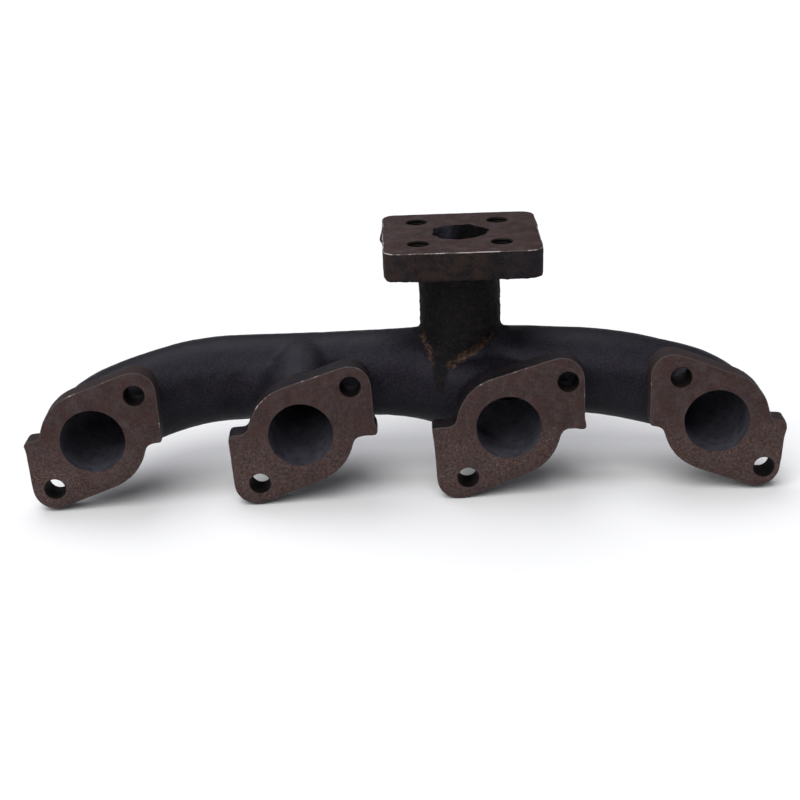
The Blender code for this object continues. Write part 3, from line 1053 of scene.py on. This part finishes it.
# %% Clean up after the cuts
WELD = 0.002 * MM
bmesh.ops.remove_doubles(body, verts=body.verts[:], dist=WELD)
bmesh.ops.dissolve_degenerate(body, edges=body.edges[:], dist=WELD)
bmesh.ops.triangulate(body, faces=[f for f in body.faces if len(f.verts) > 4])
twins = {}
for face in body.faces:
    twins.setdefault(frozenset(face.verts), []).append(face)
stray = {face for pair in twins.values() if len(pair) > 1 for face in pair}
stray |= {face for face in body.faces if all(len(e.link_faces) == 1 for e in face.edges)}
bmesh.ops.delete(body, geom=list(stray), context="FACES_ONLY")
bmesh.ops.delete(body, geom=[e for e in body.edges if not e.link_faces], context="EDGES")
bmesh.ops.delete(body, geom=[v for v in body.verts if not v.link_faces], context="VERTS")
say("stray faces removed", len(stray), "edges without two faces",
    sum(len(e.link_faces) != 2 for e in body.edges))

# %% Shade the casting
CREASE_ANGLE = math.radians(38)
body.to_mesh(casting.data)
body.free()
for tool in cores + [drills_object]:
    bpy.data.objects.remove(tool)
casting.data.polygons.foreach_set("use_smooth", [True] * len(casting.data.polygons))
casting.data.set_sharp_from_angle(angle=CREASE_ANGLE)
casting.data.calc_loop_triangles()
say("casting has triangles", len(casting.data.loop_triangles))

# %% Put the casting on its frame
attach(casting, "root")
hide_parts("manifold_casting")
say("casting stands for", "manifold_casting")

# %% [markdown]
# ## Floor, light and camera
# The casting stands on the lowest lobes of its port flanges, on a plain pale floor. One broad
# soft light stands high in front, another high behind, and a dim white room fills the rest. The
# one behind lays the sheen along the top of the pipe. Dark iron in a small lit box would mirror
# the box's edges, so both lights are wide suns, which light every side of it evenly. The camera
# looks down by 20 degrees on the row of ports from 0.8 m away, and is rolled by two degrees.

# %% Floor
FLOOR_REACH = 6          # metres to each side
FLOOR_GAP = 0.2 * MM     # below the casting, so that the two don't flicker
low_corner, high_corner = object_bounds()
floor_z = low_corner.z - FLOOR_GAP
bm = bmesh.new()
bmesh.ops.create_grid(bm, x_segments=1, y_segments=1, size=FLOOR_REACH,
                      matrix=Matrix.Translation((0, 0, floor_z)))
floor = object_of("floor", bm)
pale = bpy.data.materials.new("pale_floor")
pale.use_nodes = True
shader = pale.node_tree.nodes["Principled BSDF"]
shader.inputs["Base Color"].default_value = (0.95, 0.95, 0.95, 1)
shader.inputs["Roughness"].default_value = 0.9
shader.inputs["Specular IOR Level"].default_value = 0.1
floor.data.materials.append(pale)
say("floor lies at Z in mm", floor_z / MM)

# %% The room
# It lights the casting dimly, but looks as pale as the floor where the camera sees it.
ROOM_LIGHT, ROOM_LOOK = 0.20, 0.97
world = bpy.data.worlds.new("studio")
bpy.context.scene.world = world
world.use_nodes = True
room = world.node_tree
room.nodes["Background"].inputs["Color"].default_value = (0.93, 0.95, 1.0, 1)
seen = room.nodes.new("ShaderNodeLightPath").outputs["Is Camera Ray"]
strength = ramp(room, seen, 0.0, 1.0, ROOM_LIGHT, ROOM_LOOK)
room.links.new(strength, room.nodes["Background"].inputs["Strength"])
say("room lights with strength", ROOM_LIGHT)


# %% Lights
def wide_light(name, side, elevation, spread, strength, colour=(1, 1, 1)):
    """A broad even light far away. Side is its angle from the front, in degrees."""
    light = bpy.data.lights.new(name, "SUN")
    light.energy = strength
    light.angle = math.radians(spread)
    light.color = colour
    obj = bpy.data.objects.new(name, light)
    side, elevation = math.radians(side), math.radians(elevation)
    towards = Vector((math.sin(side) * math.cos(elevation), -math.cos(side) * math.cos(elevation),
                      math.sin(elevation)))
    obj.rotation_euler = towards.to_track_quat("Z", "Y").to_euler()
    bpy.context.scene.collection.objects.link(obj)
    say(name, "stands at elevation", math.degrees(elevation))


wide_light("front_softbox", -26, 50, 56, 2.2)
wide_light("rear_softbox", -155, 66, 48, 1.35, (0.96, 0.96, 1.0))

# %% Camera
LENS, SENSOR = 82.07, 36.0
CAMERA_DISTANCE = 0.8
CAMERA_TILT = math.radians(20.46)
CAMERA_ROLL = math.radians(-1.894)
LOOK_AT = Vector((-1.698, 0, 15.04)) * MM

forward = Vector((0, math.cos(CAMERA_TILT), -math.sin(CAMERA_TILT)))
level, upward = Vector((1, 0, 0)), Vector((0, math.sin(CAMERA_TILT), math.cos(CAMERA_TILT)))
right = level * math.cos(CAMERA_ROLL) + upward * math.sin(CAMERA_ROLL)
over = upward * math.cos(CAMERA_ROLL) - level * math.sin(CAMERA_ROLL)
camera = bpy.data.objects.new("camera", bpy.data.cameras.new("camera"))
camera.data.lens = LENS
camera.data.sensor_width = SENSOR
camera.matrix_world = Matrix.Translation(LOOK_AT - forward * CAMERA_DISTANCE) @ Matrix(
    (right, over, -forward)).transposed().to_4x4()
bpy.context.scene.collection.objects.link(camera)
bpy.context.scene.camera = camera
bpy.context.scene.view_settings.view_transform = "Standard"
say("camera is at, in mm", *[v / MM for v in camera.location])
